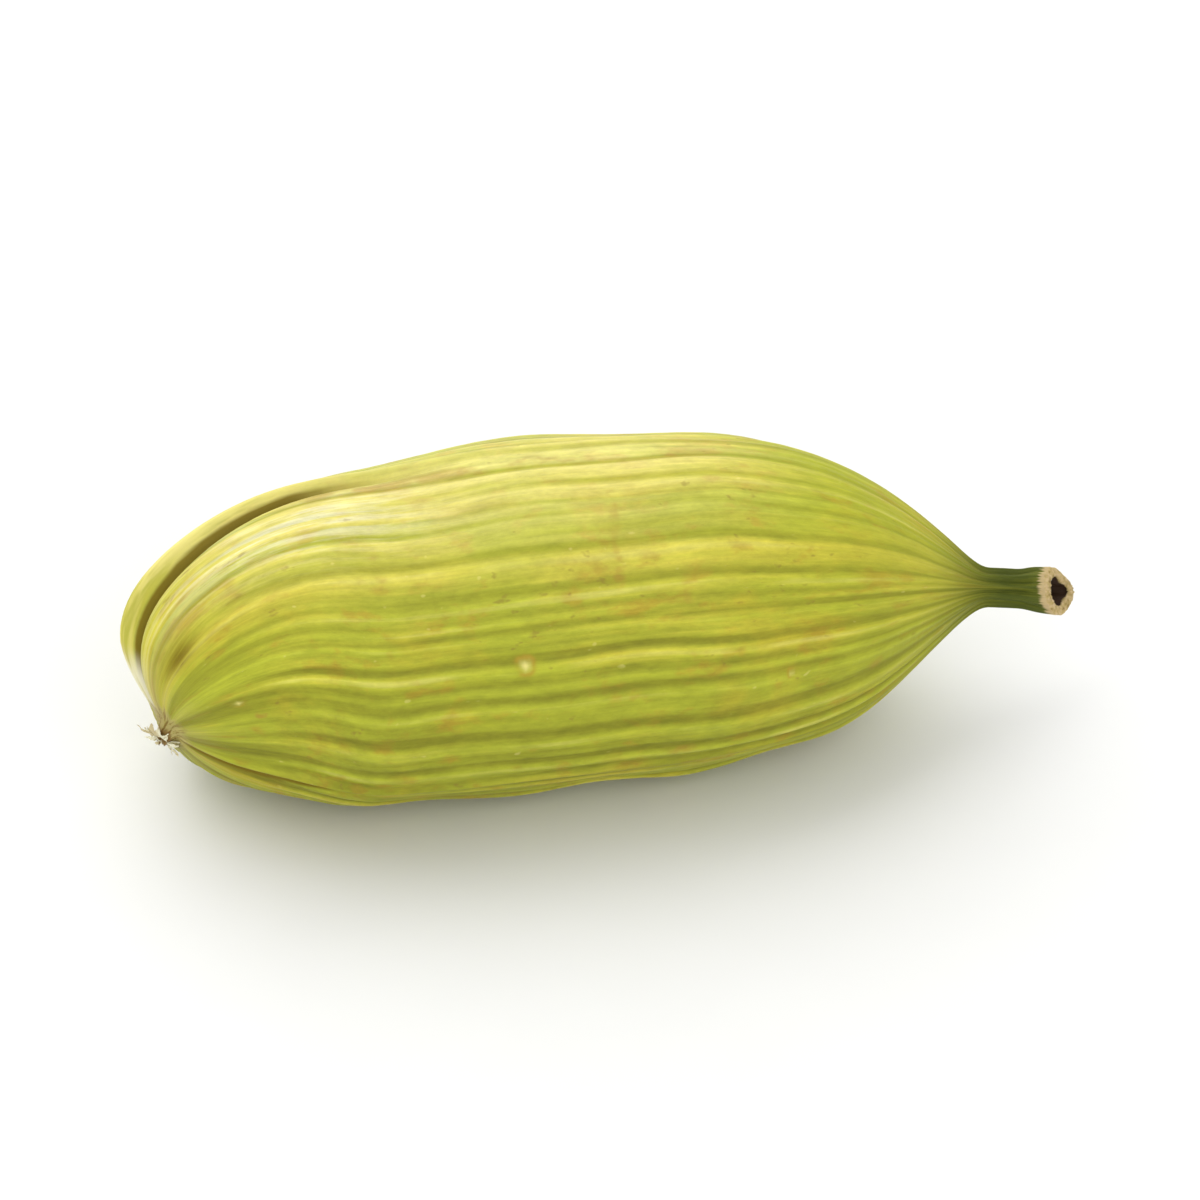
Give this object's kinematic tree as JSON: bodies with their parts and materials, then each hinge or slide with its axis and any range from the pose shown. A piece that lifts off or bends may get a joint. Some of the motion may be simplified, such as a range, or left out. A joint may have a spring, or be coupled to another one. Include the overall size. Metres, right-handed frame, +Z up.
{
  "type": "green cardamom pod",
  "caption": "Dried green cardamom pod: a plump ribbed husk with keels, blunt and furrowed at the blossom end, tapering to a short hollow-ended neck, lying on its side.",
  "frame": {"origin": "centre of the bounding box at its base, in the plane of the flat spot that the pod rests on", "axes": "+X along the pod from its blossom end to its neck, +Z up, -Y towards the face that the picture shows; the pod's top keel leans a little towards +Y"},
  "size_m": [0.0178, 0.0066, 0.0063],
  "materials": {
    "husk": "satin"
  },
  "bodies": {
    "root": {"pod": "husk"}
  },
  "joints": []
}
